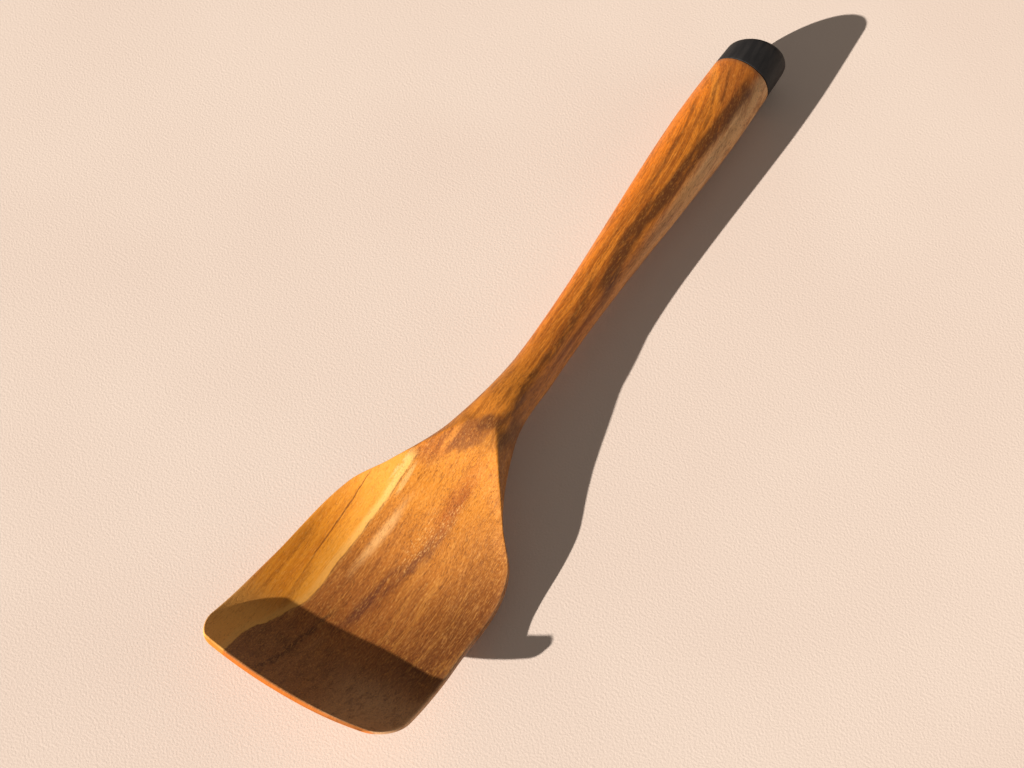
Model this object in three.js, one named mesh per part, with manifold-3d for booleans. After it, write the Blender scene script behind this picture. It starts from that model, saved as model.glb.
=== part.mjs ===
// Wooden wok turner: blade, neck and handle carved in one from a single board, with a dark horn cap
// dowelled and glued to the end of the handle.
// Millimetres. +X runs from the blade to the cap, +Z is up, and the origin is on the flat sole under
// the heel, the place where the turner rests on a table.
import * as THREE from 'three';
import { mergeVertices } from 'three/addons/utils/BufferGeometryUtils.js';
import Module from 'manifold-3d';

// Lengths along X, from the front edge to the end of the cap
const TURNER_LENGTH = 332.4;
const FRONT_TO_SHOULDER = 77.6;
const FRONT_TO_VALLEY = 52.8; // to the lowest place of the blade's face
const SHOULDER_TO_HEEL = 14.2;
const HEEL_TO_TIP = 29; // to the rounded point where the blade's face ends on the neck
const HEEL_TO_THROAT = 31;
const THROAT_TO_NECK = 28;
const NECK_TO_WAIST = 50;
const GRIP_TO_SEAM = 27.5;
const CAP_LENGTH = 15.5;

// Full widths across Y
const FRONT_WIDTH = 82.2;
const BLADE_WIDTH = 79;
const SHOULDER_WIDTH = 70;
const HEEL_WIDTH = 48.8;
const THROAT_WIDTH = 23;
const NECK_WIDTH = 17.6;
const GRIP_WIDTH = 27.5;
const CAP_WIDTH = 25.4;
const TIP_WIDTH = 6; // of the blade's face where it ends on the neck

// Depths at the middle of the section, from the top down to the underside
const LIP_DEPTH = 2.5;
const BLADE_DEPTH = 4.4;
const SHOULDER_DEPTH = 12.7;
const HEEL_DEPTH = 17.5;
const THROAT_DEPTH = 18;
const NECK_DEPTH = 16.9;
const WAIST_DEPTH = 17.3;
const GRIP_DEPTH = 23.6;
const CAP_DEPTH = 27;

// Heights of the middle of the top above the table
const LIP_TOP = 26.4;
const VALLEY_TOP = 8.2;
const HEEL_TOP = 16.5;
const THROAT_TOP = 26.9;
const NECK_TOP = 24.6;
const WAIST_TOP = 24.7;
const GRIP_TOP = 26.8;
const CAP_TOP = 27;
const LIP_POWER = 2.68; // how late the blade turns up towards the lip

// Rise of the blade's two rims above the middle of its face
const LEFT_LIP_DISH = 1.8;
const RIGHT_LIP_DISH = 4.3;
const BLADE_DISH = 5.3;
const SHOULDER_DISH = 1.3;
const HEEL_DISH = 1.3;
const DISH_POWER = 2.9; // how flat the middle of the dish is
const BELLY_POWER = 2.1; // how round the underside is at the heel
const LIP_TWIST = 2.8; // the right corner of the lip stands this far up, and the left this far down
const TWIST_FADE = 3.4; // how soon the twist dies out behind the front edge

// The hand-carved blade and neck wander off the handle's line, to the left where this is positive
const FRONT_DRIFT = 3.8;
const BLADE_DRIFT = 1.3;
const SHOULDER_DRIFT = -0.6;
const HEEL_DRIFT = 0.6;
const TIP_DRIFT = 1.1;

// Edges of the blade
const RIM_THICKNESS = 2.6;
const LEFT_CORNER_RADIUS = 8.6;
const RIGHT_CORNER_RADIUS = 11;
const FRONT_BOW = 3.3; // the middle of the front edge stands this far past its corners
const FRONT_SKEW = 1.2; // the hand-cut front edge is this far out of square at each corner
const BOW_FADE = 1.3; // how soon the bow dies out behind the front edge

// From blade to handle the underside turns from a belly to an oval over the rounding, while the
// widest line sinks from the rims to the middle of the oval before it reaches the tip of the face
const ROUNDING_BEFORE_HEEL = 2;
const ROUNDING_LENGTH = 31;
const SINK_LENGTH = 24;
const TIP_BLEND = 4; // the face fades into the round neck this far on either side of its tip
const OVAL_SIDE_FLAT = 0.5; // upright band along each side of the oval handle

// Joint between handle and cap
const GLUE_THICKNESS = 0.3;
const SEAM_EASE = 0.5; // the edges that meet at the seam are eased by this much
const CAP_EDGE_RADIUS = 2.6;
const CAP_SLANT = 3.7; // the cap's end is cut aslant: longer by this on the right and shorter on the left
const DOWEL_DIAMETER = 8;
const DOWEL_IN_HANDLE = 20;
const DOWEL_IN_CAP = 10;
const DOWEL_CLEARANCE = 0.15;
const DOWEL_END_GAP = 1;
const DOWEL_CHAMFER = 0.8;
const FLUTE_COUNT = 12;
const FLUTE_DEPTH = 0.3;

// Facets
const POINTS_ACROSS = 16;
const FLANK_STEPS = 5;
const FACE_SHARE = 0.8; // of the handle's half width, between the flanks of its oval
const STEPS_PER_STRETCH = 8;
const CORNER_STEPS = 7;
const CAP_EDGE_STEPS = 5;
const HOLE_SIDES = 32;
const FLUTE_POINTS = 4;

// Places along X
const HEEL = 0;
const SHOULDER = HEEL - SHOULDER_TO_HEEL;
const FRONT = SHOULDER - FRONT_TO_SHOULDER;
const BLADE_MIDDLE = (FRONT + SHOULDER) / 2;
const VALLEY = FRONT + FRONT_TO_VALLEY;
const THROAT = HEEL + HEEL_TO_THROAT;
const NECK = THROAT + THROAT_TO_NECK;
const WAIST = NECK + NECK_TO_WAIST;
const CAP_END = FRONT + TURNER_LENGTH;
const CAP_START = CAP_END - CAP_LENGTH;
const SEAM = CAP_START - GLUE_THICKNESS;
const GRIP = SEAM - GRIP_TO_SEAM;
const TIP = HEEL + HEEL_TO_TIP;
const ROUNDING_START = HEEL - ROUNDING_BEFORE_HEEL;

const wasm = await Module();
wasm.setup();

// A smooth line through places along X and the values there
function lineThrough(places, values) {
  const line = new THREE.CubicInterpolant(places, values, 1, new Float64Array(1));
  return (x) => line.evaluate(x)[0];
}

const widthAt = lineThrough(
  [FRONT, BLADE_MIDDLE, SHOULDER, HEEL, THROAT, NECK, GRIP, CAP_END],
  [
    FRONT_WIDTH, BLADE_WIDTH, SHOULDER_WIDTH, HEEL_WIDTH,
    THROAT_WIDTH, NECK_WIDTH, GRIP_WIDTH, CAP_WIDTH,
  ],
);
const depthAt = lineThrough(
  [FRONT, BLADE_MIDDLE, SHOULDER, HEEL, THROAT, NECK, WAIST, GRIP, CAP_END],
  [
    LIP_DEPTH, BLADE_DEPTH, SHOULDER_DEPTH, HEEL_DEPTH, THROAT_DEPTH,
    NECK_DEPTH, WAIST_DEPTH, GRIP_DEPTH, CAP_DEPTH,
  ],
);
const leftDishAt = lineThrough(
  [FRONT, BLADE_MIDDLE, SHOULDER, HEEL, THROAT],
  [LEFT_LIP_DISH, BLADE_DISH, SHOULDER_DISH, HEEL_DISH, 0],
);
const rightDishAt = lineThrough(
  [FRONT, BLADE_MIDDLE, SHOULDER, HEEL, THROAT],
  [RIGHT_LIP_DISH, BLADE_DISH, SHOULDER_DISH, HEEL_DISH, 0],
);
const driftAt = lineThrough(
  [FRONT, BLADE_MIDDLE, SHOULDER, HEEL, TIP, NECK],
  [FRONT_DRIFT, BLADE_DRIFT, SHOULDER_DRIFT, HEEL_DRIFT, TIP_DRIFT, 0],
);
// Behind the valley the top climbs to the throat and follows the handle, starting level
const handleTop = new THREE.CubicInterpolant(
  [VALLEY, HEEL, THROAT, NECK, WAIST, GRIP, CAP_END],
  [VALLEY_TOP, HEEL_TOP, THROAT_TOP, NECK_TOP, WAIST_TOP, GRIP_TOP, CAP_TOP],
  1,
  new Float64Array(1),
);
handleTop.settings = { endingStart: THREE.ZeroSlopeEnding, endingEnd: THREE.ZeroCurvatureEnding };

// In front of the valley the top turns up to the lip along a power curve
function topAt(x) {
  if (x > VALLEY) return handleTop.evaluate(x)[0];
  const towardsLip = (VALLEY - x) / (VALLEY - FRONT);
  return VALLEY_TOP + (LIP_TOP - VALLEY_TOP) * towardsLip ** LIP_POWER;
}

function between(start, end, x) {
  return THREE.MathUtils.smoothstep(x, start, end);
}

// Half the width of the blade's face. In front of the heel the face fills the blade, then it narrows to
// its tip, and on the handle it is only the upper part of the oval.
function faceHalfWidthAt(x, halfWidth) {
  if (x < HEEL) return halfWidth;
  const towardsTip = Math.min(1, (x - HEEL) / HEEL_TO_TIP);
  const narrowed = Math.min(THREE.MathUtils.lerp(HEEL_WIDTH, TIP_WIDTH, towardsTip) / 2, halfWidth);
  return THREE.MathUtils.lerp(narrowed, FACE_SHARE * halfWidth, between(TIP, NECK, x));
}

// Points of one cross-section: the face from right to left, down the left flank, the underside from
// left to right and up the right flank. On the blade the section is a plate whose rims stand above its
// middle, at the neck the face is cut into an oval, and on the handle the oval is whole.
function sectionAt(x, sideInset) {
  const oval = between(ROUNDING_START, ROUNDING_START + ROUNDING_LENGTH, x);
  const sink = between(HEEL, HEEL + SINK_LENGTH, x);
  const belly = between(BLADE_MIDDLE, HEEL, x);
  const round = between(TIP - TIP_BLEND, TIP + TIP_BLEND, x);
  const depth = depthAt(x) - 2 * sideInset;
  const middle = topAt(x) - sideInset;
  const keel = middle - depth;
  const drift = x < NECK ? driftAt(x) : 0;
  const edge = THREE.MathUtils.lerp(RIM_THICKNESS, OVAL_SIDE_FLAT, oval);
  const halfWidth = widthAt(x) / 2 - sideInset;
  const left = halfWidth - cornerInset(x, LEFT_CORNER_RADIUS);
  const right = halfWidth - cornerInset(x, RIGHT_CORNER_RADIUS);
  const faceShare = faceHalfWidthAt(x, halfWidth) / halfWidth;
  const flankTurn = Math.acos(faceShare);
  // Height of the widest line and of the edge of the face, which differ from side to side at the lip
  const sideOf = (dishAt) => {
    const rim = middle + (x < THROAT ? dishAt(x) : 0);
    const widest = THREE.MathUtils.lerp(rim, (middle + keel + edge) / 2, sink);
    const onOval = widest + (middle - widest) * Math.sin(flankTurn);
    return { widest, arris: THREE.MathUtils.lerp(rim, onOval, round) };
  };
  const leftSide = sideOf(leftDishAt);
  const rightSide = sideOf(rightDishAt);
  const twist = LIP_TWIST * towardsFront(x) ** TWIST_FADE;
  const place = (share, height) => {
    const y = share * (share > 0 ? left : right);
    const reach = frontReach(x, y) + capSlant(x, y);
    return new THREE.Vector3(x - reach, y + drift, height - twist * share);
  };
  const face = [];
  const underside = [];
  for (let i = 0; i <= POINTS_ACROSS; i += 1) {
    const across = -Math.cos(Math.PI * i / POINTS_ACROSS);
    const { widest, arris } = across > 0 ? leftSide : rightSide;
    const dished = THREE.MathUtils.lerp(arris, middle, 1 - Math.abs(across) ** DISH_POWER);
    const rounded = widest + (middle - widest) * Math.sqrt(1 - (across * faceShare) ** 2);
    face.push(place(across * faceShare, THREE.MathUtils.lerp(dished, rounded, round)));
    const bellied = 1 - Math.abs(across) ** THREE.MathUtils.lerp(DISH_POWER, BELLY_POWER, belly);
    const undersideShare = THREE.MathUtils.lerp(bellied, Math.sqrt(1 - across ** 2), oval);
    underside.push(place(across, THREE.MathUtils.lerp(widest - edge, keel, undersideShare)));
  }
  const leftFlank = [];
  const rightFlank = [];
  for (let i = 1; i < FLANK_STEPS; i += 1) {
    const down = i / FLANK_STEPS;
    const turn = flankTurn * (1 - down);
    const climb = flankTurn > 0 ? Math.sin(turn) / Math.sin(flankTurn) : 1 - down;
    const heightOn = ({ widest, arris }) => widest + (arris - widest) * climb - edge * down;
    leftFlank.push(place(Math.cos(turn), heightOn(leftSide)));
    rightFlank.push(place(-Math.cos(turn), heightOn(rightSide)));
  }
  return [...face, ...leftFlank, ...underside.reverse(), ...rightFlank.reverse()];
}

// How much a rounded corner of the blade draws its side in near the front edge
function cornerInset(x, radius) {
  const pastCentre = Math.max(0, FRONT + radius - x);
  return radius - Math.sqrt(Math.max(0, radius ** 2 - pastCentre ** 2));
}

// From nothing at the shoulder to one at the front edge
function towardsFront(x) {
  return Math.max(0, (SHOULDER - x) / (SHOULDER - FRONT));
}

// How far the bowed and slightly skewed front edge reaches past a straight one
function frontReach(x, y) {
  const fade = towardsFront(x) ** BOW_FADE;
  const side = y / (FRONT_WIDTH / 2);
  return fade * (FRONT_BOW * (1 - side ** 2) + FRONT_SKEW * side);
}

// How far the slanted end draws the left side of the cap in, growing from nothing at the seam
function capSlant(x, y) {
  const share = Math.max(0, (x - CAP_START) / (CAP_END - CAP_START));
  return share * CAP_SLANT * y / (CAP_WIDTH / 2);
}

// Triangles over the flat end of a loft: a strip between face and underside, and a fan at each flank
function endTriangles(count) {
  const below = (i) => 2 * POINTS_ACROSS + FLANK_STEPS - i;
  const triangles = [];
  for (let i = 1; i < POINTS_ACROSS - 1; i += 1) {
    triangles.push([i, i + 1, below(i + 1)], [i, below(i + 1), below(i)]);
  }
  for (let i = POINTS_ACROSS - 1; i < POINTS_ACROSS + FLANK_STEPS; i += 1) {
    triangles.push([below(POINTS_ACROSS - 1), i, i + 1]);
  }
  for (let i = below(0); i <= count; i += 1) {
    triangles.push([below(1), i % count, (i + 1) % count]);
  }
  return triangles;
}

// A closed skin over cross-sections that follow each other along +X
function loft(sections) {
  const count = sections[0].length;
  const positions = sections.flat().flatMap((point) => point.toArray());
  const triangles = [];
  const addQuad = (a, b, c, d) => triangles.push(a, b, c, a, c, d);
  for (let ring = 0; ring < sections.length - 1; ring += 1) {
    for (let i = 0; i < count; i += 1) {
      const here = ring * count;
      const next = here + count;
      const j = (i + 1) % count;
      addQuad(here + i, next + i, next + j, here + j);
    }
  }
  const last = (sections.length - 1) * count;
  for (const [a, b, c] of endTriangles(count)) {
    triangles.push(a, b, c);
    triangles.push(last + a, last + c, last + b);
  }
  const geometry = new THREE.BufferGeometry();
  geometry.setAttribute('position', new THREE.Float32BufferAttribute(positions, 3));
  geometry.setIndex(triangles);
  return geometry;
}

function toSolid(geometry) {
  const bare = geometry.clone();
  bare.deleteAttribute('normal');
  bare.deleteAttribute('uv');
  const merged = mergeVertices(bare);
  return new wasm.Manifold(new wasm.Mesh({
    numProp: 3,
    vertProperties: new Float32Array(merged.attributes.position.array),
    triVerts: new Uint32Array(merged.index.array),
  }));
}

function toGeometry(solid) {
  const mesh = solid.getMesh();
  const geometry = new THREE.BufferGeometry();
  geometry.setAttribute('position', new THREE.BufferAttribute(mesh.vertProperties, 3));
  geometry.setIndex(new THREE.BufferAttribute(mesh.triVerts, 1));
  return geometry;
}

// Height of the dowel's axis: the middle of the section at the seam
const DOWEL_HEIGHT = topAt(SEAM) - depthAt(SEAM) / 2;

function dowelHole() {
  const start = SEAM - DOWEL_IN_HANDLE - DOWEL_END_GAP;
  const end = CAP_START + DOWEL_IN_CAP + DOWEL_END_GAP;
  const radius = DOWEL_DIAMETER / 2 + DOWEL_CLEARANCE;
  const hole = new THREE.CylinderGeometry(radius, radius, end - start, HOLE_SIDES);
  hole.rotateZ(Math.PI / 2);
  hole.translate((start + end) / 2, 0, DOWEL_HEIGHT);
  return toSolid(hole);
}

// Everything below the table from the front edge to the throat: the sole is planed flat down to it
function soleTrim() {
  const trim = new THREE.BoxGeometry(THROAT - FRONT, FRONT_WIDTH, HEEL_DEPTH);
  trim.translate((THROAT + FRONT) / 2, 0, -HEEL_DEPTH / 2);
  return toSolid(trim);
}

function carvedBladeAndHandle() {
  const sections = [];
  const cornerLength = Math.max(LEFT_CORNER_RADIUS, RIGHT_CORNER_RADIUS);
  for (let i = 0; i < CORNER_STEPS; i += 1) {
    const turn = Math.PI / 2 * i / CORNER_STEPS;
    sections.push(sectionAt(FRONT + cornerLength * (1 - Math.cos(turn)), 0));
  }
  const places = [
    FRONT + cornerLength, BLADE_MIDDLE, SHOULDER, HEEL, THROAT,
    NECK, WAIST, GRIP, SEAM - SEAM_EASE,
  ];
  for (let stretch = 0; stretch < places.length - 1; stretch += 1) {
    for (let step = 0; step < STEPS_PER_STRETCH; step += 1) {
      const share = step / STEPS_PER_STRETCH;
      sections.push(sectionAt(THREE.MathUtils.lerp(places[stretch], places[stretch + 1], share), 0));
    }
  }
  sections.push(sectionAt(SEAM - SEAM_EASE, 0));
  sections.push(sectionAt(SEAM, SEAM_EASE));
  return toGeometry(toSolid(loft(sections)).subtract(soleTrim()).subtract(dowelHole()));
}

function endCap() {
  const sections = [sectionAt(CAP_START, SEAM_EASE), sectionAt(CAP_START + SEAM_EASE, 0)];
  for (let i = 0; i <= CAP_EDGE_STEPS; i += 1) {
    const turn = Math.PI / 2 * i / CAP_EDGE_STEPS;
    const place = CAP_END - CAP_EDGE_RADIUS * (1 - Math.sin(turn));
    sections.push(sectionAt(place, CAP_EDGE_RADIUS * (1 - Math.cos(turn))));
  }
  return toGeometry(toSolid(loft(sections)).subtract(dowelHole()));
}

// The film of glue fills the seam between the eased edges, with the dowel through its middle
function glueFilm() {
  const seamFace = sectionAt(SEAM, SEAM_EASE);
  const capFace = seamFace.map((point) => new THREE.Vector3(CAP_START, point.y, point.z));
  return toGeometry(toSolid(loft([seamFace, capFace])).subtract(dowelHole()));
}

// A round dowel with straight flutes that let the glue escape, chamfered at both ends
function capDowel() {
  const radius = DOWEL_DIAMETER / 2;
  const outline = new THREE.Shape();
  const count = FLUTE_COUNT * FLUTE_POINTS;
  for (let i = 0; i < count; i += 1) {
    const turn = 2 * Math.PI * i / count;
    const reach = radius - FLUTE_DEPTH * (1 - Math.cos(FLUTE_COUNT * turn)) / 2;
    const corner = new THREE.Vector2(reach * Math.cos(turn), reach * Math.sin(turn));
    if (i === 0) outline.moveTo(corner.x, corner.y);
    else outline.lineTo(corner.x, corner.y);
  }
  outline.closePath();
  const length = DOWEL_IN_HANDLE + GLUE_THICKNESS + DOWEL_IN_CAP;
  const dowel = new THREE.ExtrudeGeometry(outline, {
    depth: length - 2 * DOWEL_CHAMFER,
    bevelThickness: DOWEL_CHAMFER,
    bevelSize: DOWEL_CHAMFER,
    bevelOffset: -DOWEL_CHAMFER,
    bevelSegments: 1,
  });
  dowel.rotateY(Math.PI / 2);
  dowel.translate(SEAM - DOWEL_IN_HANDLE + DOWEL_CHAMFER, 0, DOWEL_HEIGHT);
  return toGeometry(toSolid(dowel));
}

const oiledWood = new THREE.MeshStandardMaterial({ color: 0xb9742f, roughness: 0.5, metalness: 0 });
const darkHorn = new THREE.MeshStandardMaterial({ color: 0x262223, roughness: 0.4, metalness: 0 });
const paleDowelWood = new THREE.MeshStandardMaterial({ color: 0xd8b98a, roughness: 0.7, metalness: 0 });
const clearGlue = new THREE.MeshStandardMaterial({ color: 0x6b5230, roughness: 0.3, metalness: 0 });

const turner = new THREE.Group();
turner.name = 'wooden_wok_turner';

function addPiece(name, geometry, material) {
  const piece = new THREE.Mesh(geometry, material);
  piece.name = name;
  turner.add(piece);
}

addPiece('carved_blade_and_handle', carvedBladeAndHandle(), oiledWood);
addPiece('end_cap', endCap(), darkHorn);
addPiece('cap_dowel', capDowel(), paleDowelWood);
addPiece('glue_film', glueFilm(), clearGlue);

export default turner;
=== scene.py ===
import math
from functools import reduce

import bmesh
import bpy
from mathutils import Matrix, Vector, noise


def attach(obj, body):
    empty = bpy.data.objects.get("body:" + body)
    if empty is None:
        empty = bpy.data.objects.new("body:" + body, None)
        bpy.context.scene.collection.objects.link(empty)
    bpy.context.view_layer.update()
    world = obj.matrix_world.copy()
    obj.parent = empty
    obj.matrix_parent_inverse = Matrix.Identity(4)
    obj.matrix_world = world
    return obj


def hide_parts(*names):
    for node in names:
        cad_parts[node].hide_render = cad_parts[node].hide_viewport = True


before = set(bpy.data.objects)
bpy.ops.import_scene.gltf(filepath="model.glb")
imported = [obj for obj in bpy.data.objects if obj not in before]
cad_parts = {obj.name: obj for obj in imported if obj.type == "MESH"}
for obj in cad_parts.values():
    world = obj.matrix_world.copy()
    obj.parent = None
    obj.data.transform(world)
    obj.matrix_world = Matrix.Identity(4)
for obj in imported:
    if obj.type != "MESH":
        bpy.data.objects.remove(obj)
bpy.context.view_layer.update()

MM = 0.001

# Sizes of the carved wood and its cap, in millimetres: lengths along X from the front edge
TURNER_LENGTH = 332.4
FRONT_TO_SHOULDER = 77.6
FRONT_TO_VALLEY = 52.8
SHOULDER_TO_HEEL = 14.2
HEEL_TO_TIP = 29
HEEL_TO_THROAT = 31
THROAT_TO_NECK = 28
NECK_TO_WAIST = 50
GRIP_TO_SEAM = 27.5
CAP_LENGTH = 15.5
GLUE_THICKNESS = 0.3

# Places along X
HEEL = 0.0
SHOULDER = HEEL - SHOULDER_TO_HEEL
FRONT = SHOULDER - FRONT_TO_SHOULDER
BLADE_MIDDLE = (FRONT + SHOULDER) / 2
VALLEY = FRONT + FRONT_TO_VALLEY
THROAT = HEEL + HEEL_TO_THROAT
TIP = HEEL + HEEL_TO_TIP
NECK = THROAT + THROAT_TO_NECK
WAIST = NECK + NECK_TO_WAIST
CAP_END = FRONT + TURNER_LENGTH
CAP_START = CAP_END - CAP_LENGTH
SEAM = CAP_START - GLUE_THICKNESS
GRIP = SEAM - GRIP_TO_SEAM

# Full widths, depths and top heights at those places
WIDTHS = {
    FRONT: 82.2, BLADE_MIDDLE: 79.0, SHOULDER: 70.0, HEEL: 48.8,
    THROAT: 23.0, NECK: 17.6, GRIP: 27.5, CAP_END: 25.4,
}
DEPTHS = {
    FRONT: 2.5, BLADE_MIDDLE: 4.4, SHOULDER: 12.7, HEEL: 17.5, THROAT: 18.0,
    NECK: 16.9, WAIST: 17.3, GRIP: 23.6, CAP_END: 27.0,
}
TOPS = {
    VALLEY: 8.2, HEEL: 16.5, THROAT: 26.9, NECK: 24.6, WAIST: 24.7, GRIP: 26.8, CAP_END: 27.0,
}
LEFT_DISHES = {FRONT: 1.8, BLADE_MIDDLE: 5.3, SHOULDER: 1.3, HEEL: 1.3, THROAT: 0.0}
RIGHT_DISHES = {**LEFT_DISHES, FRONT: 4.3}
DRIFTS = {FRONT: 3.8, BLADE_MIDDLE: 1.3, SHOULDER: -0.6, HEEL: 0.6, TIP: 1.1, NECK: 0.0}
LIP_TOP = 26.4
LIP_POWER = 2.68
LIP_TWIST = 2.8
TWIST_FADE = 3.4
DISH_POWER = 2.9
BELLY_POWER = 2.1
TIP_WIDTH = 6.0
RIM_THICKNESS = 2.6
LEFT_CORNER_RADIUS = 8.6
RIGHT_CORNER_RADIUS = 11.0
FRONT_BOW = 3.3
FRONT_SKEW = 1.2
BOW_FADE = 1.3
ROUNDING_START = HEEL - 2
ROUNDING_LENGTH = 31
SINK_LENGTH = 24
TIP_BLEND = 4
OVAL_SIDE_FLAT = 0.5
FACE_SHARE = 0.8
SEAM_EASE = 0.25
CAP_EDGE_RADIUS = 2.6
CAP_SLANT = 3.7
BORE_RADIUS = 4.15
BORE_IN_HANDLE = 21.0
BORE_IN_CAP = 11.0

# Softness that only the looks show
RIM_EASE = 0.85  # rounding along the rims of the blade
HANDLE_EASE = 0.3  # rounding along the sides of the handle
FRONT_CUT = 1.3  # how far the front edge leans back, square to the lip
FRONT_LEFT = 0.1  # share of the thickness that the cut leaves at the very front
CUT_ROUNDING = 0.2  # share of the cut over which its upper edge is rounded
FRONT_GAP = 0.01  # how far the front stays behind the front of the solid
RIGHT_RIM_LEAN = 0.7  # how far the right rim leans in
CARVING_DEPTH = 0.16  # hollows left by carving and sanding
LONG_HOLLOW = (34, 13, 13)  # sizes of the broad hollows
SHORT_HOLLOW = (11, 6, 6)  # sizes of the small ones
SHORT_HOLLOW_SHIFT = 7
SOLE_FADE = (0.1, 1.2)  # heights above the table between which the hollows begin
FRONT_FADE = (1, 8)  # distances behind the front edge between which they begin
SEAM_FADE = (SEAM - 8, SEAM - 2)  # places between which they end
RIM_WEAR_END = (HEEL - 4, TIP)  # places between which the wear along the rims ends
FRONT_WEAR = (0.5, 2.0)  # distances behind the front edge between which it begins
SEAM_WEAR = (SEAM - 1.6, SEAM - 0.4)  # places between which the wear at the seam begins
CAP_SEAM_EASE = 0.12  # rounding of the cap where it meets the wood
CAP_CROWN = 0.35  # how much the end of the cap swells in its middle

# Points of the meshes
FLANK_COUNT = 7  # from half way down a flank over its eased edge
HALF_FACE_COUNT = 17  # from there to the middle
MEASURE_STEPS = 8  # for the length of half a flank
FLANK_STEPS = 6
EASE_STEPS = 5
FINE_STEPS = 60
CORNER_STEPS = 16
CAP_STEPS = 5
CAP_EDGE_STEPS = 8
CUT_RINGS = 5  # cross-sections that the cut of the front edge takes in


def smooth_line(stations, level_start=False):
    """A cubic line through stations of place and value, level at its first place if asked."""
    places = list(stations)
    values = list(stations.values())
    last = len(places) - 1

    def value_at(x):
        i = 1
        while i < last and x >= places[i]:
            i += 1
        start, end = places[i - 1], places[i]
        span = end - start
        before, before_value = start + span, values[i]
        weight_before = -0.5
        if i > 1:
            before, before_value = places[i - 2], values[i - 2]
            weight_before = span / 2 / (start - before)
        elif level_start:
            weight_before = 0.5
        weight_after, after_value = -0.5, values[i - 1]
        if i < last:
            weight_after = span / 2 / (places[i + 1] - end)
            after_value = values[i + 1]
        p = (x - start) / span
        shares = (
            weight_before * (-p ** 3 + 2 * p ** 2 - p),
            (1 + weight_before) * p ** 3 - (1.5 + 2 * weight_before) * p ** 2
            + (weight_before - 0.5) * p + 1,
            -(1 + weight_after) * p ** 3 + (1.5 + weight_after) * p ** 2 + 0.5 * p,
            weight_after * (p ** 3 - p ** 2),
        )
        around = (before_value, values[i - 1], values[i], after_value)
        return sum(share * value for share, value in zip(shares, around))

    return value_at


width_at = smooth_line(WIDTHS)
depth_at = smooth_line(DEPTHS)
left_dish_at = smooth_line(LEFT_DISHES)
right_dish_at = smooth_line(RIGHT_DISHES)
drift_at = smooth_line(DRIFTS)
handle_top_at = smooth_line(TOPS, level_start=True)


def top_at(x):
    """Height of the middle of the top: turned up to the lip in front of the valley."""
    if x > VALLEY:
        return handle_top_at(x)
    towards_lip = (VALLEY - x) / (VALLEY - FRONT)
    return TOPS[VALLEY] + (LIP_TOP - TOPS[VALLEY]) * towards_lip ** LIP_POWER


DOWEL_HEIGHT = top_at(SEAM) - depth_at(SEAM) / 2


def lerp(a, b, share):
    return a + (b - a) * share


def between(start, end, x):
    """0 before start, 1 after end and a smooth step between them."""
    share = min(1.0, max(0.0, (x - start) / (end - start)))
    return share * share * (3 - 2 * share)


def corner_inset(x, radius):
    """How far a rounded front corner takes the side in."""
    past_centre = max(0.0, FRONT + radius - x)
    return radius - math.sqrt(max(0.0, radius ** 2 - past_centre ** 2))


def towards_front(x):
    """From nothing at the shoulder to one at the front edge."""
    return max(0.0, (SHOULDER - x) / (SHOULDER - FRONT))


def front_reach(x, y):
    """How far the bow and skew of the front edge push a point forward."""
    fade = towards_front(x) ** BOW_FADE
    side = y / (WIDTHS[FRONT] / 2)
    return fade * (FRONT_BOW * (1 - side ** 2) + FRONT_SKEW * side)


def behind_front(x, y):
    """Distance of a point behind the bowed front edge."""
    return x - FRONT + front_reach(x, y)


def front_thickness(x):
    """Share of the lip's thickness that the cut of the front edge leaves."""
    share = (x - FRONT) / FRONT_CUT
    if share > 1 + CUT_ROUNDING:
        return 1.0
    if share > 1 - CUT_ROUNDING:
        share = 1 - (1 + CUT_ROUNDING - share) ** 2 / (4 * CUT_ROUNDING)
    return lerp(FRONT_LEFT, 1.0, share)


def cap_slant(x, y):
    """How far the slanting end of the cap pulls a point back."""
    share = max(0.0, (x - CAP_START) / (CAP_END - CAP_START))
    return share * CAP_SLANT * y / (WIDTHS[CAP_END] / 2)


def face_half_width(x, half):
    """Half the width of the blade's face, which ends in a rounded tip on the neck."""
    if x < HEEL:
        return half
    towards_tip = min(1.0, (x - HEEL) / HEEL_TO_TIP)
    narrowed = min(lerp(WIDTHS[HEEL], TIP_WIDTH, towards_tip) / 2, half)
    return lerp(narrowed, FACE_SHARE * half, between(TIP, NECK, x))


def eased(corner, before, after):
    """Points of a rounded corner, from a point before it to a point after it."""
    made = []
    for i in range(EASE_STEPS + 1):
        t = i / EASE_STEPS
        made.append(tuple(
            (1 - t) ** 2 * b + 2 * t * (1 - t) * c + t ** 2 * a
            for b, c, a in zip(before, corner, after)
        ))
    return made


def spaced(line, flank_length):
    """Points along a half chain, set evenly over its flank and evenly from there to the middle."""
    lengths = [0.0]
    for a, b in zip(line, line[1:]):
        lengths.append(lengths[-1] + math.dist(a, b))
    made = []
    at = 0
    for start, end, count in (
        (0.0, flank_length, FLANK_COUNT), (flank_length, lengths[-1], HALF_FACE_COUNT),
    ):
        for i in range(count):
            wanted = lerp(start, end, i / count)
            while at < len(lengths) - 2 and lengths[at + 1] < wanted:
                at += 1
            share = (wanted - lengths[at]) / max(1e-9, lengths[at + 1] - lengths[at])
            made.append(tuple(lerp(a, b, share) for a, b in zip(line[at], line[at + 1])))
    made.append(line[-1])
    return made


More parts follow.
